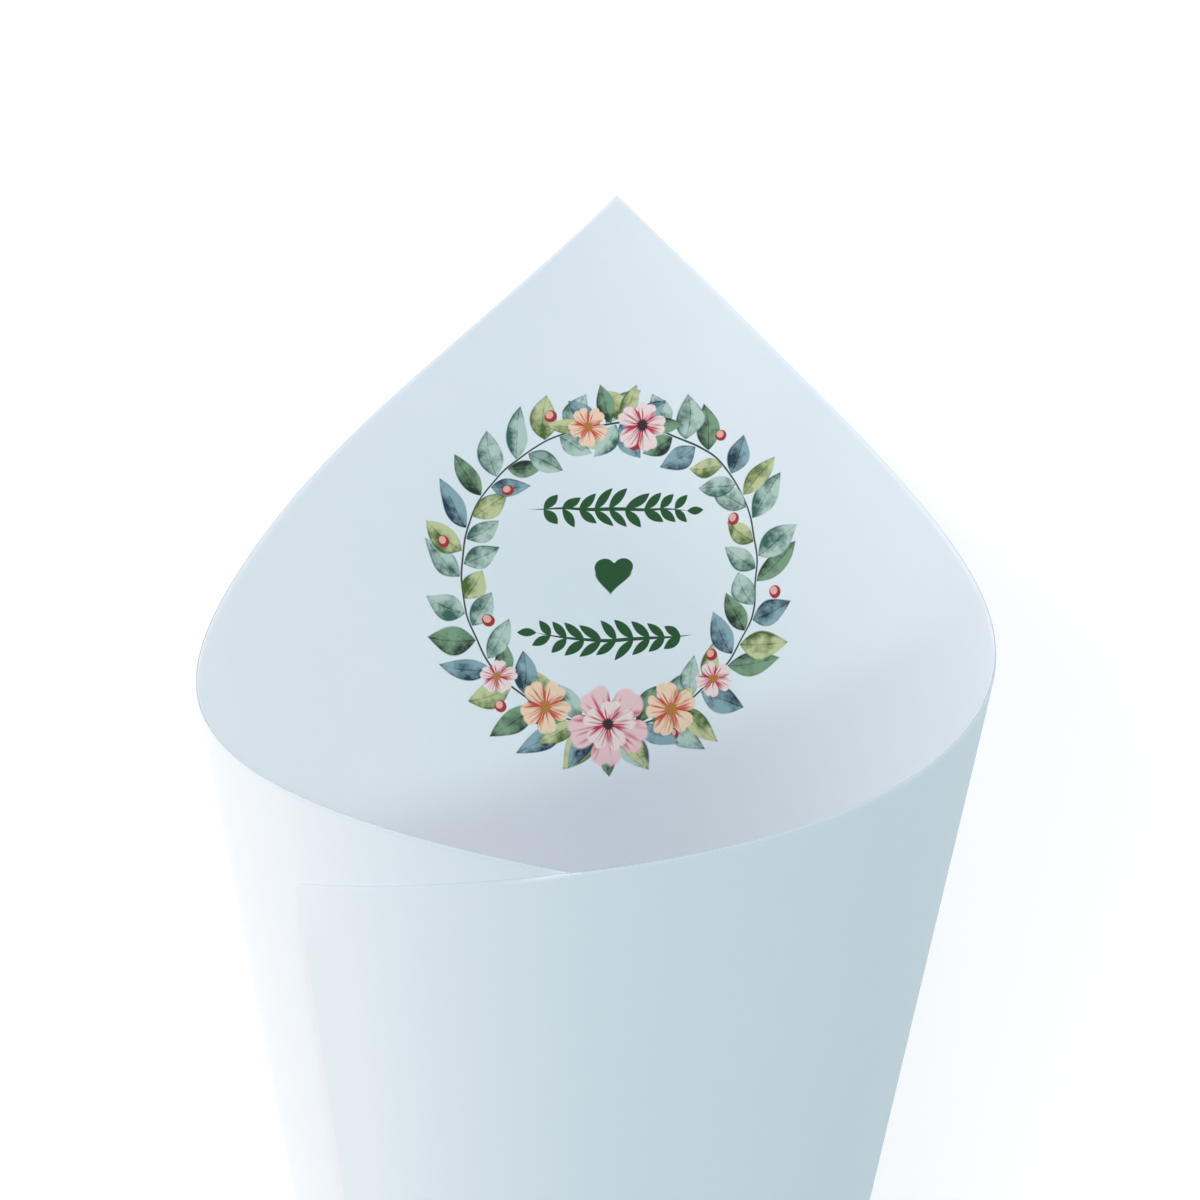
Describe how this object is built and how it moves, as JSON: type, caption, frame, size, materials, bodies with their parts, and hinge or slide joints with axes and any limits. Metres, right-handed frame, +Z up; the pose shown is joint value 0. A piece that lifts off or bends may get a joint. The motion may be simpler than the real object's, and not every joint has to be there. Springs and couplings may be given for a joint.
{
  "type": "paper confetti cone",
  "caption": "Hand-held cone rolled from a square sheet of white card, with a raised peak behind the mouth and a floral print inside, to hold confetti or petals.",
  "frame": {"origin": "centre of the bounding box on the surface that the cone lies on", "axes": "+Y from the closed tip to the peak of the mouth, +Z up, +X to the right of someone who looks into the mouth over the lap with the peak behind it"},
  "size_m": [0.0688, 0.2114, 0.0598],
  "materials": {
    "card": "smooth matte white card with a floral print in greens and pinks inside"
  },
  "bodies": {
    "root": {"paper_cone": "card"}
  },
  "joints": []
}
